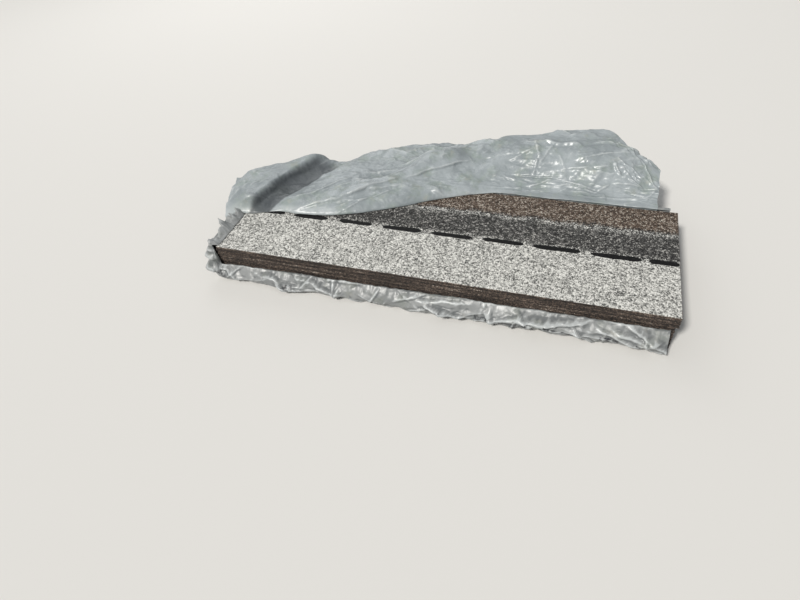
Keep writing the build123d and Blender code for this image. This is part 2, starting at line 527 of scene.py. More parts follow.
light_granules = (  # the share of a draw that each colour starts from
    (0.00, (0.055, 0.057, 0.056)),
    (0.20, (0.13, 0.13, 0.125)),
    (0.33, (0.29, 0.29, 0.275)),
    (0.46, (0.50, 0.50, 0.475)),
    (0.60, (0.70, 0.695, 0.665)),
    (0.76, (0.84, 0.835, 0.80)),
)
charcoal_granules = (
    (0.00, (0.016, 0.016, 0.016)),
    (0.30, (0.042, 0.042, 0.041)),
    (0.52, (0.080, 0.079, 0.077)),
    (0.69, (0.16, 0.16, 0.155)),
    (0.78, (0.42, 0.41, 0.39)),
)
brown_granules = (
    (0.00, (0.026, 0.021, 0.018)),
    (0.28, (0.062, 0.046, 0.036)),
    (0.50, (0.125, 0.090, 0.069)),
    (0.66, (0.23, 0.185, 0.150)),
    (0.77, (0.48, 0.44, 0.385)),
)
cut_asphalt = (
    (0.00, (0.014, 0.012, 0.011)),
    (0.38, (0.040, 0.031, 0.026)),
    (0.56, (0.090, 0.068, 0.055)),
    (0.72, (0.17, 0.130, 0.105)),
    (0.85, (0.37, 0.325, 0.28)),
)
inner_look = {  # of the film's inside, which the thrown back top shows
    "gloss": 0.55,
    "coat": 0.15,
    "low": (0.22, 0.250, 0.264),
    "high": (0.37, 0.408, 0.428),
    "blotches": (0.245, 0.290, 0.275),
    # share of the pale crest colour: whitening of the film and a painted highlight
    "whitening_and_highlight_share": 0.40,
    "printed": False,
}
outer_look = {
    "gloss": 0.45,
    "coat": 0.08,
    "low": (0.185, 0.194, 0.197),
    "high": (0.300, 0.310, 0.312),
    "blotches": (0.20, 0.215, 0.20),
    # share of the pale crest colour: whitening of the film and a painted highlight
    "whitening_and_highlight_share": 0.55,
    "printed": True,
}
dust_colour = (0.42, 0.39, 0.34)
ink_colour = (0.028, 0.030, 0.034)
# Colours that the marks paint: whitening and a painted highlight on crests, painted shade in valleys,
# painted shade in the hollow beside the lobe's crest
whitening_and_highlight = (0.56, 0.59, 0.60)
crease_shade = (0.060, 0.068, 0.074)
hollow_shade_colour = (0.055, 0.062, 0.070)


def granule_face():
    """Mineral granules in three bands: light, charcoal and brown, with ragged borders."""
    grain_size, clump_size, patch_size = 0.0017, 0.0042, 0.045
    charcoal_from, brown_from = 0.160, 0.258
    specks_from, specks_to = (0.236, 0.252), (0.258, 0.270)
    finish = Finish("granule_face", {"Specular IOR Level": 0.25})
    place = finish.place()
    pick_one, pick_two, pick_three = finish.axes(finish.cells(place, grain_size))
    clump = finish.axes(finish.cells(place, clump_size))[0]
    patch = finish.cloud(place, patch_size, detail=4.0)
    draw = (pick_one * 0.58 + clump * 0.42 + (patch - 0.5) * 0.18).limited()
    light = finish.steps(draw, light_granules)
    charcoal = finish.steps(draw, charcoal_granules)
    brown = finish.steps(draw, brown_granules)
    from_front = finish.axes(place)[1] - front_edge
    stray = from_front + ((pick_two - 0.5) * 0.022 + (patch - 0.5) * 0.024)
    fringe = from_front + ((pick_three - 0.5) * 0.018 + (patch - 0.5) * 0.030)
    speck = (fringe.rise(*specks_from) - fringe.rise(*specks_to)).limited()
    base = finish.blend(light, charcoal, stray > charcoal_from)
    base = finish.blend(base, light, speck * (pick_three > 0.62))
    base = finish.blend(base, brown, fringe > brown_from)
    dome = finish.cells(place, grain_size, output="Distance")
    lump = finish.cells(place, clump_size, output="Distance")
    normal = finish.bump(1 - dome * 0.8 - lump * 0.45, depth=0.0011, strength=0.9)
    return finish.done(base, 0.72 + pick_two * 0.26, normal)


def cut_edge():
    """Cut asphalt with the ends of granules in it, in thin uneven lines."""
    grain_size = 0.0016
    finish = Finish("cut_edge", {"Specular IOR Level": 0.35})
    place = finish.place()
    grain = finish.axes(finish.cells(place, grain_size))[0]
    streak = finish.cloud(finish.drawn_out(place, 0.12), size=0.0022, detail=3.0, roughness=0.6)
    patch = finish.cloud(place, size=0.09, detail=3.0)
    line = finish.cloud(finish.drawn_out(place, 0.03), size=0.0055, detail=2.0, roughness=0.6)
    draw = (grain * 0.55 + streak * 0.45 + (line - 0.5) * 0.9 + (patch - 0.5) * 0.25).limited()
    base = finish.steps(draw, cut_asphalt)
    dome = finish.cells(place, grain_size, output="Distance")
    normal = finish.bump(dome * -0.7 + streak, depth=0.0012, strength=0.8)
    return finish.done(base, 0.62 + grain * 0.3, normal)


def dusted_back():
    """The smooth underside, asphalt dusted with mineral so that it doesn't stick."""
    finish = Finish("dusted_back", {"Specular IOR Level": 0.3})
    place = finish.place()
    fine = finish.cloud(place, size=0.003, detail=4.0, roughness=0.7)
    patch = finish.cloud(place, size=0.05, detail=4.0)
    share = (fine * 0.6 + patch * 0.7 - 0.25).limited()
    base = finish.blend((0.022, 0.021, 0.020), (0.13, 0.125, 0.115), share)
    return finish.done(base, 0.6 + fine * 0.3, finish.bump(fine, depth=0.0005, strength=0.6))


def sealant():
    """Dull black asphalt, a little dusty."""
    finish = Finish("sealant", {"Specular IOR Level": 0.22})
    place = finish.place()
    dust = finish.cloud(place, size=0.006, detail=4.0, roughness=0.7)
    base = finish.blend((0.004, 0.004, 0.004), (0.020, 0.020, 0.021), dust.rise(0.45, 0.78))
    return finish.done(base, 0.45 + dust * 0.35, finish.bump(dust, depth=0.0006, strength=0.5))


def film_finish(name, look):
    """Silver-grey polyethylene, satin and dusty, painted paler along its crests, partly by whitening of
    the film and partly as a painted highlight, and darker beside them as painted shade.

    Its outside is printed. Its inside has painted shade in the hollow, and is smoother where it glints.
    """
    satin = {"Specular IOR Level": look["gloss"], "Coat Weight": look["coat"], "Coat Roughness": 0.22}
    finish = Finish(name, satin)
    crest = finish.mark("crest")
    place = finish.place()
    tint = finish.cloud(place, size=0.11, detail=4.0)
    blotch = finish.cloud(place, size=0.045, detail=4.0, roughness=0.6)
    fine = finish.cloud(place, size=0.014, detail=2.0, distortion=0.6)
    base = finish.blend(look["low"], look["high"], tint.rise(0.25, 0.75))
    base = finish.blend(base, look["blotches"], blotch.rise(0.48, 0.66) * 0.75)
    dust = (fine * 0.6 + blotch * 0.6).rise(0.66, 0.86)
    base = finish.blend(base, dust_colour, dust * 0.30)
    rough = 0.32 + fine * 0.16 + dust * 0.2
    if look["printed"]:
        base = finish.blend(base, ink_colour, print_mask(finish))
    # Paler on crests, by whitening of the film and a painted highlight; darker in valleys, a painted
    # shade
    base = finish.blend(base, whitening_and_highlight, crest.rise(0.55, 1.0) * look["whitening_and_highlight_share"])
    base = finish.blend(base, crease_shade, crest.rise(0.45, 0.0) * 0.55)
    if not look["printed"]:
        # Painted shade in the hollow beside the lobe's crest
        base = finish.blend(base, hollow_shade_colour, finish.mark("hollow") * 0.84)
        rough = rough - finish.mark("glint") * 0.12
    return finish.done(base, rough, film_bump(finish, place, fine))


def film_bump(finish, place, fine):
    """Small creases between warped cells, dents within them and a soft grain."""
    warp = finish.node("ShaderNodeTexNoise", {}, Vector=place, Scale=30.0, Detail=2.0, output="Color")
    settings = {"operation": "MULTIPLY_ADD"}
    warped = finish.node("ShaderNodeVectorMath", settings, warp, (0.02, 0.02, 0.02), place)
    crease = finish.cells(warped, size=0.017, output="Distance", feature="DISTANCE_TO_EDGE")
    small = finish.cells(warped, size=0.0075, output="Distance")
    height = crease.rise(0.0, 0.35) * 0.5 + small * 0.15 + fine * 0.35
    return finish.bump(height, depth=0.0016, strength=0.5)


def print_mask(finish):
    """1 inside what is left of a row of plain long bars low on the wall."""
    bar_pitch, bar_bottom, bar_top = 0.085, 0.014, 0.024
    along, up, _ = finish.axes(finish.node("ShaderNodeTexCoord", {}, output="UV"))
    run = along / bar_pitch
    cell = finish.node("ShaderNodeMath", {"operation": "FLOOR"}, run)
    chance = finish.node("ShaderNodeTexWhiteNoise", {"noise_dimensions": "1D"}, W=cell)
    bar = (run - cell) < (0.35 + chance * 0.5)
    row = (up > bar_bottom) * (up < bar_top)
    place = finish.place()
    worn = finish.cloud(place, size=0.010, detail=5.0, roughness=0.7).rise(0.40, 0.52)
    stretch = finish.cloud(place, size=0.16, detail=2.0).rise(0.46, 0.54)
    return bar * row * worn * stretch


# Shingles

rim_spacing = 0.003
wear_size = 0.012
strip_rings = (  # inset, depth and size of the rag, height and wear as shares of the thickness
    (0.0060, 0.0, 0.006, 0.0, 0.0),
    (0.0007, 0.0004, 0.009, 0.02, 0.0),
    (0.0001, 0.0008, 0.006, 0.20, 0.0),
    (0.0000, 0.0011, 0.006, 0.45, 0.0),
    (0.0001, 0.0009, 0.006, 0.72, 0.0),
    (0.0006, 0.0009, 0.009, 0.95, 0.10),
    (0.0060, 0.0, 0.006, 1.0, 0.0),
)
face_finish, edge_finish, back_finish = 0, 1, 2


def rag(path, layer, size):
    """Ragged edge along a path, 0 to 1: smooth noise of one size and of 0.4 of it."""
    row = 0.37 * layer
    rough = 0.6 * swell(path, row, size, layer) + 0.4 * swell(path, row, 0.4 * size, layer + 2)
    return 0.5 + 0.5 * rough


def torn(path, *rags):
    """How far a torn edge stands in: the sum of its rags, each with depth, lattice layer and size."""
    return sum(depth * rag(path, layer, size) for depth, layer, size in rags)


def drift(layer):
    """How far a strip lies off its place, as in the part: along, across and turned."""
    along = drift_along * sin(2.1 * layer)
    if layer > shingle_count - slid_layers:
        along += slid_along
    across = drift_across * sin(1.7 * layer + 0.8)
    return along, across, drift_turn * sin(2.9 * layer + 0.3)


def rim_path():
    """Points round the shingle's rectangle, their outward directions and the way along them."""
    points, outward = [], []
    half = np.array((shingle_length, shingle_width)) / 2
    corners = half * [(-1, -1), (1, -1), (1, 1), (-1, 1)]
    for start, end in zip(corners, np.roll(corners, -1, axis=0)):
        length = np.linalg.norm(end - start)
        share = np.linspace(0, 1, round(length / rim_spacing), endpoint=False)[:, None]
        points.append(start + (end - start) * share)
        direction = (end - start) / length
        outward.append(np.tile([direction[1], -direction[0]], (len(share), 1)))
    points, outward = np.concatenate(points), np.concatenate(outward)
    outward = (outward + np.roll(outward, 1, axis=0)) / 2
    return points, outward, np.arange(len(points)) * rim_spacing


def shingle_piece(layer, finishes):
    """A strip: rings of points from its underside, up its ragged cut edge, to its face."""
    rim, outward, path = rim_path()
    columns, rows = len(rim), len(strip_rings)
    points = np.empty((columns, rows, 3))
    for row, (inset, depth, size, height, wear) in enumerate(strip_rings):
        shrunk = 1 - 2 * inset / np.array((shingle_length, shingle_width))
        inward = depth * rag(path, layer + row, size)
        points[:, row, :2] = rim * shrunk - outward * inward[:, None]
        worn = wear * rag(path, layer + row + 3, wear_size)
        points[:, row, 2] = (height - worn) * shingle_thickness
    along, across, turn = drift(layer)
    x = points[..., 0] * cos(turn) - points[..., 1] * sin(turn) + along
    y = points[..., 0] * sin(turn) + points[..., 1] * cos(turn) + across
    z = points[..., 2] + (stack_floor + (layer - 1) * layer_pitch)
    faces = grid_faces(columns, rows, closed=True)
    rim_finish = face_finish if layer == shingle_count else edge_finish
    up_the_side = [back_finish] + [edge_finish] * (rows - 3) + [rim_finish]
    order = np.arange(columns) * rows
    faces.append(order[::-1].tolist())
    faces.append((order + rows - 1).tolist())
    finish_of = up_the_side * columns + [back_finish, face_finish]
    name = f"strip_{layer:02d}"
    piece = mesh_piece(name, points_of(x, y, z), faces, finishes, finish_of, smooth=False)
    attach(piece, "root")
    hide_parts(f"shingle_{layer:02d}")
    return piece


def sealant_piece(finish):
    """Long low domes in a broken row: half an ellipse across, a swelling width along.

    The width and the height taper over the last seventh at both ends.
    """
    columns, rows = 48, 9
    sink, end_gap, stray, wander = 0.00005, 0.0005, 0.003, 0.0014
    shortest, growth = 0.47, 0.011  # half lengths of the beads, as shares, which grow to the right
    mean, coarse, fine = 1.36, 0.24, 0.12  # of the width, as shares
    share = np.linspace(0, 1, columns)[:, None]
    taper = np.clip(np.minimum(share, 1 - share) * 7, 0, 1) ** 0.45
    across = np.cos(np.linspace(pi, 0, rows))[None, :]
    beads, faces = [], []
    middles = np.arange(left_end + bead_start, right_end + bead_length / 2, bead_pitch)
    for number, middle in enumerate(middles):
        half_length = bead_length * (shortest + growth * number)
        start = middle - half_length - stray * sin(2.3 * number)
        end = min(middle + half_length + stray * sin(1.9 * number + 1), right_end - 2 * end_gap)
        x = mix(start, end, share)
        width = mean + coarse * swell(x, number * 1.7, 0.030, 2) + fine * swell(x, number, 0.009, 4)
        line = front_edge + bead_line + wander * swell(x, number + 0.5, 0.06, 5)
        y = line + across * (bead_width / 2 * taper * width)
        dome = np.sqrt(1 - across**2) * bead_height * taper * (0.9 + 0.3 * swell(x, y, 0.007, 3))
        beads.append(points_of(x, y, stack_top + np.maximum(dome, 0) - sink).reshape(-1, 3))
        faces += grid_faces(columns, rows, first=number * columns * rows)
    points = np.concatenate(beads)
    slid, aside, _ = drift(shingle_count)
    points[:, 0] = np.minimum(points[:, 0] + slid, right_end + slid - end_gap)
    points[:, 1] += aside
    piece = mesh_piece("sealant_row", points, faces, [finish])
    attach(piece, "root")
    return piece


# Folds of the film

pleats = (  # start and end from the left end and the front edge, height, half width
    ((0.080, 0.160), (0.420, 0.268), 0.004, 0.010),
    ((0.100, 0.185), (0.300, 0.330), 0.005, 0.012),
    ((0.165, 0.175), (0.440, 0.345), 0.006, 0.013),
    ((0.200, 0.250), (0.430, 0.440), 0.005, 0.012),
    ((0.250, 0.235), (0.560, 0.395), 0.005, 0.011),
    ((0.060, 0.260), (0.150, 0.420), 0.006, 0.012),
    ((-0.030, 0.160), (0.015, 0.330), 0.006, 0.012),
    ((-0.050, 0.210), (0.020, 0.260), 0.005, 0.010),
    ((-0.045, 0.300), (0.030, 0.280), 0.005, 0.011),
    ((0.560, 0.350), (0.672, 0.366), 0.0060, 0.0050),
    ((0.664, 0.366), (0.730, 0.406), 0.0060, 0.0050),
    ((0.722, 0.408), (0.840, 0.368), 0.0065, 0.0055),
    ((0.585, 0.343), (0.760, 0.360), 0.0050, 0.0045),
    ((0.740, 0.352), (0.985, 0.366), 0.0050, 0.0045),
    ((0.640, 0.372), (0.800, 0.390), 0.0055, 0.0050),
    ((0.822, 0.370), (0.858, 0.402), 0.0060, 0.0050),
    ((0.850, 0.402), (0.935, 0.404), 0.0060, 0.0050),
    ((0.880, 0.366), (0.968, 0.350), 0.0050, 0.0050),
    ((0.700, 0.420), (0.860, 0.440), 0.0060, 0.0080),
    ((0.600, 0.430), (0.700, 0.500), 0.0060, 0.0080),
    ((0.760, 0.450), (0.930, 0.500), 0.0060, 0.0080),
    ((0.520, 0.445), (0.700, 0.470), 0.0050, 0.0100),
    ((0.930, 0.345), (0.968, 0.430), 0.0050, 0.0080),
    ((0.655, 0.520), (0.690, 0.434), 0.0080, 0.0060),
    ((0.688, 0.436), (0.716, 0.510), 0.0080, 0.0060),
    ((0.120, 0.158), (0.268, 0.230), 0.0100, 0.0080),
    ((0.235, 0.212), (0.380, 0.338), 0.0120, 0.0090),
    ((0.345, 0.308), (0.530, 0.452), 0.0120, 0.0100),
    ((0.200, 0.176), (0.350, 0.272), -0.0090, 0.0120),
    ((0.320, 0.398), (0.450, 0.450), 0.0110, 0.0090),
    ((0.150, 0.215), (0.235, 0.330), 0.0080, 0.0080),
)
wall_folds = [  # along the wall from the right end of the front, height; ends, height, half width
    ((0.150, 0.046), (0.020, 0.012), 0.005, 0.007),
    ((0.260, 0.040), (0.060, 0.016), 0.004, 0.006),
    ((0.330, 0.004), (0.350, 0.040), 0.006, 0.008),
    ((0.480, 0.036), (0.380, 0.010), 0.004, 0.006),
    ((0.560, 0.008), (0.640, 0.028), 0.005, 0.007),
    ((0.690, 0.002), (0.676, 0.034), 0.006, 0.008),
    ((0.850, 0.026), (0.740, 0.008), 0.004, 0.006),
    ((0.930, 0.006), (0.990, 0.050), 0.006, 0.010),
    ((1.000, 0.080), (1.130, 0.044), 0.006, 0.012),
    ((1.000, 0.006), (1.130, 0.040), 0.006, 0.012),
    ((1.335, 0.080), (1.220, 0.046), 0.006, 0.012),
    ((1.335, 0.006), (1.220, 0.042), 0.006, 0.012),
]
random_folds = (  # count, seed, where the middles lie, spread of headings, lengths, heights, half widths
    (80, 11, ((-0.06, 1.00), (0.17, 0.72)), 0.30, (0.07, 0.22), (0.002, 0.006), (0.006, 0.014)),
    (220, 12, ((-0.06, 1.00), (0.15, 0.72)), 0.75, (0.02, 0.08), (0.001, 0.0035), (0.003, 0.008)),
)
wall_wrinkles = (
    (120, 21, ((0.0, 2.36), (0.0, 0.09)), 0.28, (0.06, 0.20), (0.003, 0.008), (0.005, 0.010)),
    (90, 23, ((0.0, 2.36), (0.0, 0.09)), 0.80, (0.04, 0.10), (0.002, 0.006), (0.004, 0.008)),
    (140, 22, ((0.0, 2.36), (0.0, 0.09)), 1.1, (0.02, 0.06), (0.001, 0.0025), (0.003, 0.006)),
)
hem_folds = (  # beside the fold at the right, most of them grooves
    36, 13, ((0.58, 0.99), (0.352, 0.405)), 0.12, (0.04, 0.14), (-0.0050, 0.0022), (0.0028, 0.0050)
)
corner_folds = (  # in the torn right corner
    34, 14, ((0.86, 0.97), (0.40, 0.52)), 0.25, (0.03, 0.08), (0.0015, 0.0035), (0.0026, 0.0045)
)
edge_folds = (  # across the loose film beside the top's left edge, heights as shares
    60, 24, ((0.98, 1.36), (0.0, 0.03)), 1.2, (0.015, 0.05), (0.3, 0.9), (0.003, 0.006)
)


def crease(s, t, start, end, height, half_width):
    """A sharp fold: a tent across its line, steeper on its right, eased out at both ends.

    Its line strays sideways by noise, for which its height picks a row of the lattice.
    """
    along_s, along_t = end[0] - start[0], end[1] - start[1]
    length = np.hypot(along_s, along_t)
    along = ((s - start[0]) * along_s + (t - start[1]) * along_t) / length
    aside = ((s - start[0]) * along_t - (t - start[1]) * along_s) / length
    aside = aside + 0.25 * half_width * swell(along, height * 900, 0.03, 1)
    ends = ease(along / length * 3) * ease((length - along) / length * 3)
    slope = np.where(aside > 0, 1 / (1 - fold_skew), 1 / (1 + fold_skew))
    tent = np.clip(1 - slope * np.abs(aside) / half_width, 0, 1)
    return height * ends * tent


def creases(s, t, folds):
    return sum(crease(s, t, *fold) for fold in folds)


def scattered(heading, *rows):
    """Random folds for each row: middles in a rectangle, headings that vary about a given one."""
    folds = []
    for count, seed, middles, spread, lengths, heights, half_widths in rows:
        draw = np.random.default_rng(seed)
        s, t = draw.uniform(*middles[0], count), draw.uniform(*middles[1], count)
        turn = heading(s) + draw.normal(0, spread, count) + pi * draw.integers(0, 2, count)
        half = draw.uniform(*lengths, count) / 2
        step_s, step_t = half * np.cos(turn), half * np.sin(turn)
        tall, wide = draw.uniform(*heights, count), draw.uniform(*half_widths, count)
        starts, ends = zip(s - step_s, t - step_t), zip(s + step_s, t + step_t)
        folds += zip(starts, ends, tall, wide)
    return folds


def film_heading(s):
    """The way most folds run: at a slant at the left, along the film at the right."""
    return mix(0.72, 0.06, towards_right(s + left_end))


def lengthwise(s):
    return np.zeros_like(s)


def downwards(s):
    """Forwards and to the right, towards the torn corner."""
    return np.full_like(s, -0.75)


# Thrown back film

flap_columns = 384
nose_rows, over_rows, drop_rows, floor_rows = 12, 136, 52, 34  # in order from the fold
pleat_share = 0.5  # of the heights in the list of pleats
calm_least = 0.25  # of the folds' heights in calm patches
facet_height, dent_height = 0.0026, 0.0014  # of the creases in the patches that glint
back_rags = ((0.012, 3, 0.07), (0.004, 5, 0.02))  # depth, lattice layer, size
left_rags = ((0.012, 2, 0.06), (0.004, 4, 0.017))
right_rags = ((0.014, 6, 0.07), (0.004, 1, 0.02))
left_fade, right_fade = 0.06, 0.07  # how far from the ends the rags die out
flap_crumples = (  # height, size, lattice layer, heading, stretch
    (0.0090, 0.058, 0, 0.70, 2.0),
    (0.0075, 0.042, 3, 0.04, 2.6),
    (0.0034, 0.024, 5, 0.4, 1.5),
    (0.0011, 0.011, 1, -0.6, 1.3),
)
glinting = (  # patches of fine sharp creases: middle from the left end and the front edge, half sizes
    ((0.552, 0.482), (0.022, 0.030)),
    ((0.689, 0.470), (0.034, 0.045)),
    ((0.800, 0.452), (0.056, 0.036)),
    ((0.895, 0.435), (0.036, 0.036)),
    ((0.250, 0.290), (0.050, 0.040)),
)
calm_share, calm_run = 0.35, 0.03  # of the relief at the fold, and where it is whole
lift_rag, lift_run = (0.007, 6, 0.05), 0.03  # of the film's edge behind the stack, over the floor
hollow_start, hollow_rise = -0.009, 0.011  # the furrow painted with shade, across from the lobe's crest
hollow_end, hollow_fall = 0.042, 0.009
hollow_length, hollow_fade = 0.190, 0.060
rim_start, rim_run, rim_highlight_share = 0.004, 0.022, 0.38  # a painted highlight along the fold's nose at the left
rest_gap, floor_gap, rest_softness = 0.0005, 0.0006, 0.0007


def patch_at(s, t, middle, half):
    """A soft round patch: a bell curve, 1 in its middle."""
    return np.exp(-(((s - middle[0]) / half[0]) ** 2) - ((t - middle[1]) / half[1]) ** 2)


def above(height, lowest, softness):
    """Softly keeps heights over a lowest one."""
    return lowest + softness * np.logaddexp(0.0, (height - lowest) / softness)


def wandering_fold(x):
    """The fold line, straying by noise of two sizes, but kept just before the back wall."""
    wide, narrow = swell(x, 0.3, 0.11, 0), swell(x, 1.7, 0.033, 3)
    fold = fold_line(x) + fold_wander * wide + 0.4 * fold_wander * narrow
    return np.minimum(fold, back_wall - fold_margin)


def flap_rows(x, fold):
    """Where each row lies across the stack, and the ragged back edge.

    The first rows crowd round the fold's nose as a cosine. The others go evenly over the stack,
    down behind it and along the floor.
    """
    lip = back_wall + run_behind(x, billows)
    back = back_wall + run_behind(x, reaches) - torn(x, *back_rags)
    foot = lip + np.minimum(drop_run, drop_share * (back - lip))
    parts = [fold + roll_width * (1 - np.cos(np.linspace(0, pi / 2, nose_rows)))]
    runs = ((fold + roll_width, lip, over_rows), (lip, foot, drop_rows), (foot, back, floor_rows))
    for start, end, rows in runs:
        parts.append(start + (end - start) * np.arange(1, rows + 1) / rows)
    return np.concatenate(parts, axis=1), back


def flap_relief(s, t, right, glint):
    """How far the film's upper side is moved along its normals.

    Crumpling at four scales, random folds that are lower in calm patches, the listed pleats, and
    small sharp creases in the patches that glint.
    """
    slanting, along, finer, finest = (crumple(s, t, *row) for row in flap_crumples)
    moved = mix(slanting, along, right) + finer + finest
    calm = mix(calm_least, 1.0, ease(0.5 + 0.9 * swell(s, t, 0.10, 6)))
    moved = moved + calm * creases(s, t, scattered(film_heading, *random_folds))
    thin_folds = scattered(lengthwise, hem_folds) + scattered(downwards, corner_folds)
    moved = moved + creases(s, t, thin_folds)
    moved = moved + pleat_share * creases(s, t, pleats)
    sharp = facet_height * facets(s, t, 0.013, 2) + dent_height * dents(s, t, 0.009, 5)
    return moved + glint * sharp


def hollow_shade_mark(aside, behind):
    """1 where shade is painted in the furrow beside the lobe's crest: it rises, holds, falls, and ends
    at the back.
    """
    across = ease((aside - hollow_start) / hollow_rise) * (1 - ease((aside - hollow_end) / hollow_fall))
    return across * (1 - ease((behind - hollow_length) / hollow_fade))


def under_layer(x, edge_x, edge_z, fold):
    """The film's way to the fold: a little up the back wall, then forward over the top.

    Past the left wall, where nothing carries it, it hangs as a narrow ragged hem.
    """
    wall_rise, up_rows, top_rows = 0.010, 4, 12
    wall_gap, top_gap, ply_gap, hang_gap = 0.0012, 0.0002, 0.0004, 0.0025
    hang_run, hem_run = 0.004, 0.022
    up = np.linspace(0, 1, up_rows, endpoint=False)
    wall_y = np.full((flap_columns, up_rows), back_wall + wall_gap)
    wall_z = np.broadcast_to(film_over - wall_rise * (1 - up), wall_y.shape)
    top_y = back_wall + (fold + ply_gap - back_wall) * np.linspace(0, 1, top_rows)
    top_z = np.broadcast_to(np.minimum(film_over + top_gap, edge_z - ply_gap), top_y.shape)
    hem = mix(1.0, 0.06 + 0.05 * rag(x, 7, 0.03), ease((left_wall - x) / hem_run))
    y = fold + (np.concatenate((wall_y, top_y), axis=1) - fold) * hem
    z = np.concatenate((wall_z, top_z), axis=1)
    z = mix(z, np.minimum(z, edge_z - hang_gap), ease((left_wall - x) / hang_run))
    return points_of(edge_x, y, z)


def flap_piece(finish):
    """The thrown back top: up the back wall, forward to the fold, round it and back to the floor.

    Its upper side is the part's flap height moved along its normals, and kept over what it lies on.
    """
    x = mix(flap_left, flap_right, np.linspace(0, 1, flap_columns))[:, None]
    fold = wandering_fold(x)
    y, back = flap_rows(x, fold)
    left_rag = torn(y, *left_rags) * (1 - ease((x - flap_left) / left_fade))
    right_rag = torn(y, *right_rags) * (1 - ease((flap_right - x) / right_fade))
    ragged_x = x + left_rag - right_rag
    height = flap_height(ragged_x, y - (fold - fold_line(x)))
    upper = points_of(splayed(ragged_x, y), y, height)
    s, t = ragged_x - left_end, fold_line(x) - front_edge + run_along(upper)
    right, behind = towards_right(ragged_x), y - fold
    glint = np.clip(sum(patch_at(s, y - front_edge, *patch) for patch in glinting), 0, 1)
    moved = flap_relief(s, t, right, glint) * mix(calm_share, 1.0, ease(behind / calm_run))
    normal = outwards(upper)
    normal = normal * np.sign(normal[..., 2:] + 1e-9)
    upper = upper + normal * moved[..., None]
    on_stack = (y < back_wall + wall_clearance) & (ragged_x > left_wall)
    lowest = np.where(on_stack, film_over + rest_gap, floor_gap)
    lifted = torn(x, lift_rag) * ease(1 - (back - y) / lift_run)
    upper[..., 2] = above(upper[..., 2] + lifted, lowest, rest_softness)
    under = under_layer(x, ragged_x[:, :1], upper[:, :1, 2], fold)

    # A painted highlight along the rounded fold at the left raises the crest mark
    rim_highlight = (1 - ease((behind - rim_start) / rim_run)) * (1 - right)
    crest = np.maximum(crest_mark(moved, 2), 0.5 + rim_highlight_share * rim_highlight)
    # Where shade is painted in the hollow beside the lobe's crest
    hollow = hollow_shade_mark(s - crest_place - crest_slant * behind, behind)
    before = ((0, 0), (under.shape[1], 0))
    marks = {"crest": np.pad(crest, before, constant_values=0.5)}
    marks |= {"hollow": np.pad(hollow, before), "glint": np.pad(glint, before)}
    points = np.concatenate((under, upper), axis=1)
    uv = np.stack((points[..., 0] - left_end, run_along(points)), axis=-1)
    faces = grid_faces(flap_columns, points.shape[1])
    piece = mesh_piece("film_thrown_back", points, faces, [finish], uv=uv, **marks)
    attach(piece, "root")
    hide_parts("wrapper_film")
    return piece


# Sleeve

front_step, side_step, back_step = 0.0028, 0.002, 0.0036
foot_bend = 0.004  # radius of the film's bend from the underside into the walls
wall_rows, turned_rows = 27, 10
front_rags = ((0.004, 4, 0.03), (0.003, 1, 0.008))
wall_crumples = (
    (0.0060, 0.042, 2, 0.10, 2.4),
    (0.0028, 0.020, 4, -0.5, 1.6),
    (0.0008, 0.010, 6, 0.8, 1.3),
)
wall_sink = 0.0008  # how far crumpling draws the walls in
least_lean = -0.0012  # past it a wall would cut into the strips
tear_sink, edge_lift = 0.003, 0.0002  # of the walls' upper edge in front, and elsewhere
edge_share = 0.3  # of the crumpling along the torn edge
hem_width = 0.03  # of the film past the walls' upper edge, for its crumpling


def wall_path():
    """The sleeve's way in plan: the front to the left, round the left end, the back to the right."""
    corner_x = left_wall + film_corner
    near, far = front_wall + film_corner, back_wall - film_corner
    front = np.arange(film_right, corner_x, -front_step)
    side = np.arange(near, far, side_step)
    back = np.arange(corner_x, film_right, back_step)
    angles = np.linspace(0, pi / 2, 7)[1:-1]
    xs = [front, corner_x - film_corner * np.sin(angles), np.full(len(side), left_wall)]
    ys = [np.full(len(front), front_wall), near - film_corner * np.cos(angles), side]
    xs += [corner_x - film_corner * np.cos(angles), back]
    ys += [far + film_corner * np.sin(angles), np.full(len(back), back_wall)]
    x, y = np.concatenate(xs), np.concatenate(ys)
    step_x, step_y = np.gradient(x), np.gradient(y)
    length = np.hypot(step_x, step_y)
    path = np.concatenate(([0.0], np.cumsum(np.hypot(np.diff(x), np.diff(y)))))
    return x, y, -step_y / length, step_x / length, path


def sleeve_lean(z, height, front, rear):
    """How far the walls lean out: the front by a skewed half sine, the end by a parabola and a flare."""
    hollow = (z / np.maximum(height, 0.03)) ** front_bulge_skew
    slump = front_bulge * np.sin(pi * np.clip(hollow, 0, 1))
    high = z / film_top
    end_lean = end_bulge * 4 * high * (1 - high) + end_flare * high**2
    return mix(mix(end_lean, back_lean, rear), slump, front)


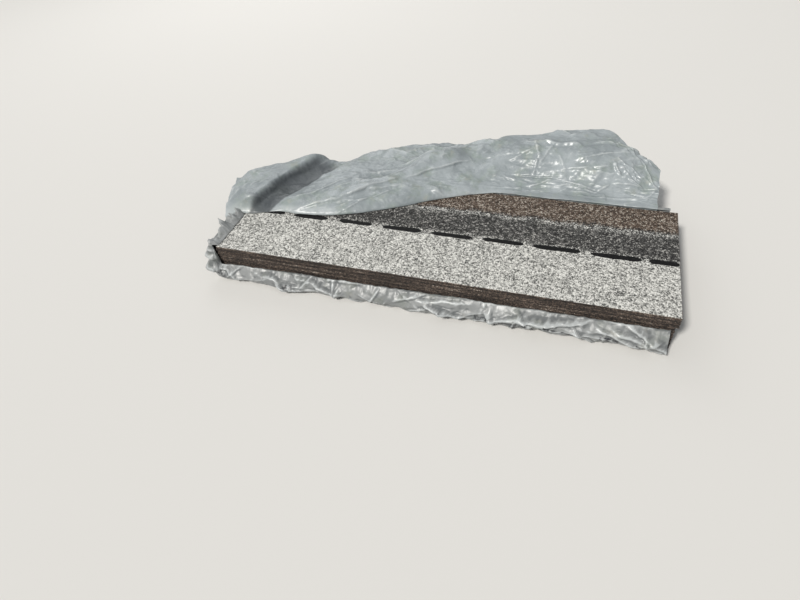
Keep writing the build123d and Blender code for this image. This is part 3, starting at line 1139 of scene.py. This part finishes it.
def turned_in(x, path, height, lean, front, rear):
    """The film past the walls' upper edge: how far it reaches out, its height and its crest mark.

    It turns in over the top in a loose hem at the left end, flat at the back, and curls out in front.
    """
    part = np.linspace(0, 1, turned_rows + 1)[None, 1:]
    fold_gap, back_hem, end_hem = 0.004, 0.040, 0.010
    curl_out, curl_rise = 0.0035, 0.003
    lie, flat_rise, loose_rise, loose_wave, loose_sway = 0.0003, 0.0016, 0.0050, 0.0085, 0.010
    room = np.clip(back_wall - fold_line(x) - fold_gap, 0.0, back_hem)
    inward = mix(end_hem + 0.006 * rag(path, 2, 0.03), room, rear) * part
    curl = curl_out * np.sin(part * pi / 2) * (0.4 + rag(path, 5, 0.05))
    shift = mix(-inward - lean * part, curl, front)
    across, folds = hem_width * part, scattered(lengthwise, edge_folds)
    loose = crumple(path, across, 1.0, 0.020, 1, 0.9) + creases(path, across, folds)
    arch = np.sin(part * pi)
    hump = np.maximum(mix(loose_rise + loose_wave * loose, flat_rise, rear), 0) * arch
    z = mix(film_over + lie + hump, height + curl_rise * part, front)
    reach = lean + shift + (1 - front) * (1 - rear) * loose_sway * loose * arch
    # The hem's crest mark rests near 0.72, which paints the turned-in film paler: painted light
    return reach, z, mix(0.72, crest_mark(loose_sway * loose, 1), 0.35)


def sleeve_piece(finish):
    """The film under the stack and up its walls, one grid: down the path, from the middle out and up.

    Walls lean out by the part's bulges; the front's upper edge is torn, the others turn in on top.
    """
    x, y, out_x, out_y, path = (a[:, None] for a in wall_path())
    front = ease((film_corner - (y - front_wall)) / film_corner)
    rear = ease((y - back_wall + film_corner) / film_corner)
    tear = tear_height(x) + torn(path, *front_rags) - tear_sink
    height = mix(film_over + edge_lift, tear, front)
    rise = np.linspace(0, 1, wall_rows)[None, :]
    z = foot_bend + (height - foot_bend) * rise
    moved = sum(crumple(path, z, *row) for row in wall_crumples) - wall_sink
    moved = moved + creases(path, z, wall_folds + scattered(lengthwise, *wall_wrinkles))
    held = mix(1.0, edge_share, front * ease((rise - 0.80) / 0.2))
    lean = np.maximum(sleeve_lean(z, height, front, rear) + moved * held, least_lean)
    wall = points_of(x + out_x * lean, y + out_y * lean, z)

    turn = np.linspace(0, pi / 2, 5)[None, :-1]
    inset = lean[:, :1] - foot_bend * (1 - np.sin(turn))
    rim = points_of(x + out_x * inset, y + out_y * inset, foot_bend * (1 - np.cos(turn)) + film_lift)
    spine = points_of(np.clip(x, left_wall + shingle_width / 2, film_right), 0.0, film_lift)
    share = np.linspace(0, 1, 8, endpoint=False)[None, :, None]
    under = spine + (rim[:, :1] - spine) * share
    reach, over_z, over_crest = turned_in(x, path, height, lean[:, -1:], front, rear)
    over = points_of(x + out_x * reach, y + out_y * reach, over_z)

    points = np.concatenate((under, rim, wall, over), axis=1)
    points[..., 2] = np.maximum(points[..., 2], least_height)
    columns, rows = points.shape[:2]
    uv = np.stack(np.broadcast_arrays(path, points[..., 2]), axis=-1)
    bare = np.full((columns, under.shape[1] + rim.shape[1]), 0.5)
    crest = np.concatenate((bare, crest_mark(moved, 2), over_crest), axis=1)
    faces = grid_faces(columns, rows, flip=True)
    piece = mesh_piece("film_sleeve", points, faces, [finish], uv=uv, crest=crest)
    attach(piece, "root")
    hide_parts("wrapper_film")
    return piece


finishes = [granule_face(), cut_edge(), dusted_back()]
for layer in range(1, shingle_count + 1):
    shingle_piece(layer, finishes)
sealant_piece(sealant())
flap = flap_piece(film_finish("film_inside", inner_look))
sleeve = sleeve_piece(film_finish("film_outside", outer_look))


# Studio

floor_reach = 60
floor_colour = (0.70, 0.69, 0.67, 1)
sky_colour, sky_strength = (0.95, 0.98, 1.0, 1), 0.33
sun_heading = (0.28, 0.62, -0.73)
fill_place, fill_aim = Vector((-1.8, 2.4, 2.0)), Vector((0.0, 0.0, 0.05))

corners = [(-1, -1, 0), (1, -1, 0), (1, 1, 0), (-1, 1, 0)]
pale = Finish("pale_floor", {"Base Color": floor_colour, "Roughness": 0.9}).material
floor = mesh_piece("floor", floor_reach * np.array(corners), [(0, 1, 2, 3)], [pale], smooth=False)

world = bpy.data.worlds.new("studio")
world.use_nodes = True
sky = world.node_tree.nodes["Background"].inputs
sky["Color"].default_value = sky_colour
sky["Strength"].default_value = sky_strength
bpy.context.scene.world = world


def lamp(name, kind, place, heading, **settings):
    """A light at a place that shines along a heading."""
    light = bpy.data.lights.new(name, kind)
    for setting, value in settings.items():
        setattr(light, setting, value)
    holder = in_scene(name, light)
    holder.location = place
    holder.rotation_euler = Vector(heading).to_track_quat("-Z", "Y").to_euler()


lamp("key", "SUN", (0, 0, 0), sun_heading, energy=3.1, angle=radians(9), color=(1.0, 0.97, 0.92))
lamp("fill", "AREA", fill_place, fill_aim - fill_place, shape="SQUARE", size=2.0, energy=16)

# Camera, fitted to the corners of the top shingle in the photograph

camera_place = (0.288, -0.9695, 0.8526)
camera_yaw, camera_pitch, camera_roll = -0.396, -0.770, -0.116
camera = bpy.data.cameras.new("camera")
camera.sensor_width = 36.0
camera.lens = 24.75
yaw_x, yaw_y = sin(camera_yaw), cos(camera_yaw)
ahead = Vector((yaw_x * cos(camera_pitch), yaw_y * cos(camera_pitch), sin(camera_pitch)))
level_right = Vector((yaw_y, -yaw_x, 0))
level_up = level_right.cross(ahead)
rightwards = level_right * cos(camera_roll) + level_up * sin(camera_roll)
upwards = level_up * cos(camera_roll) - level_right * sin(camera_roll)
holder = in_scene("camera", camera)
turn = Matrix((rightwards, upwards, -ahead)).transposed().to_4x4()
holder.matrix_world = Matrix.Translation(camera_place) @ turn
bpy.context.scene.camera = holder
bpy.context.scene.view_settings.view_transform = "Standard"
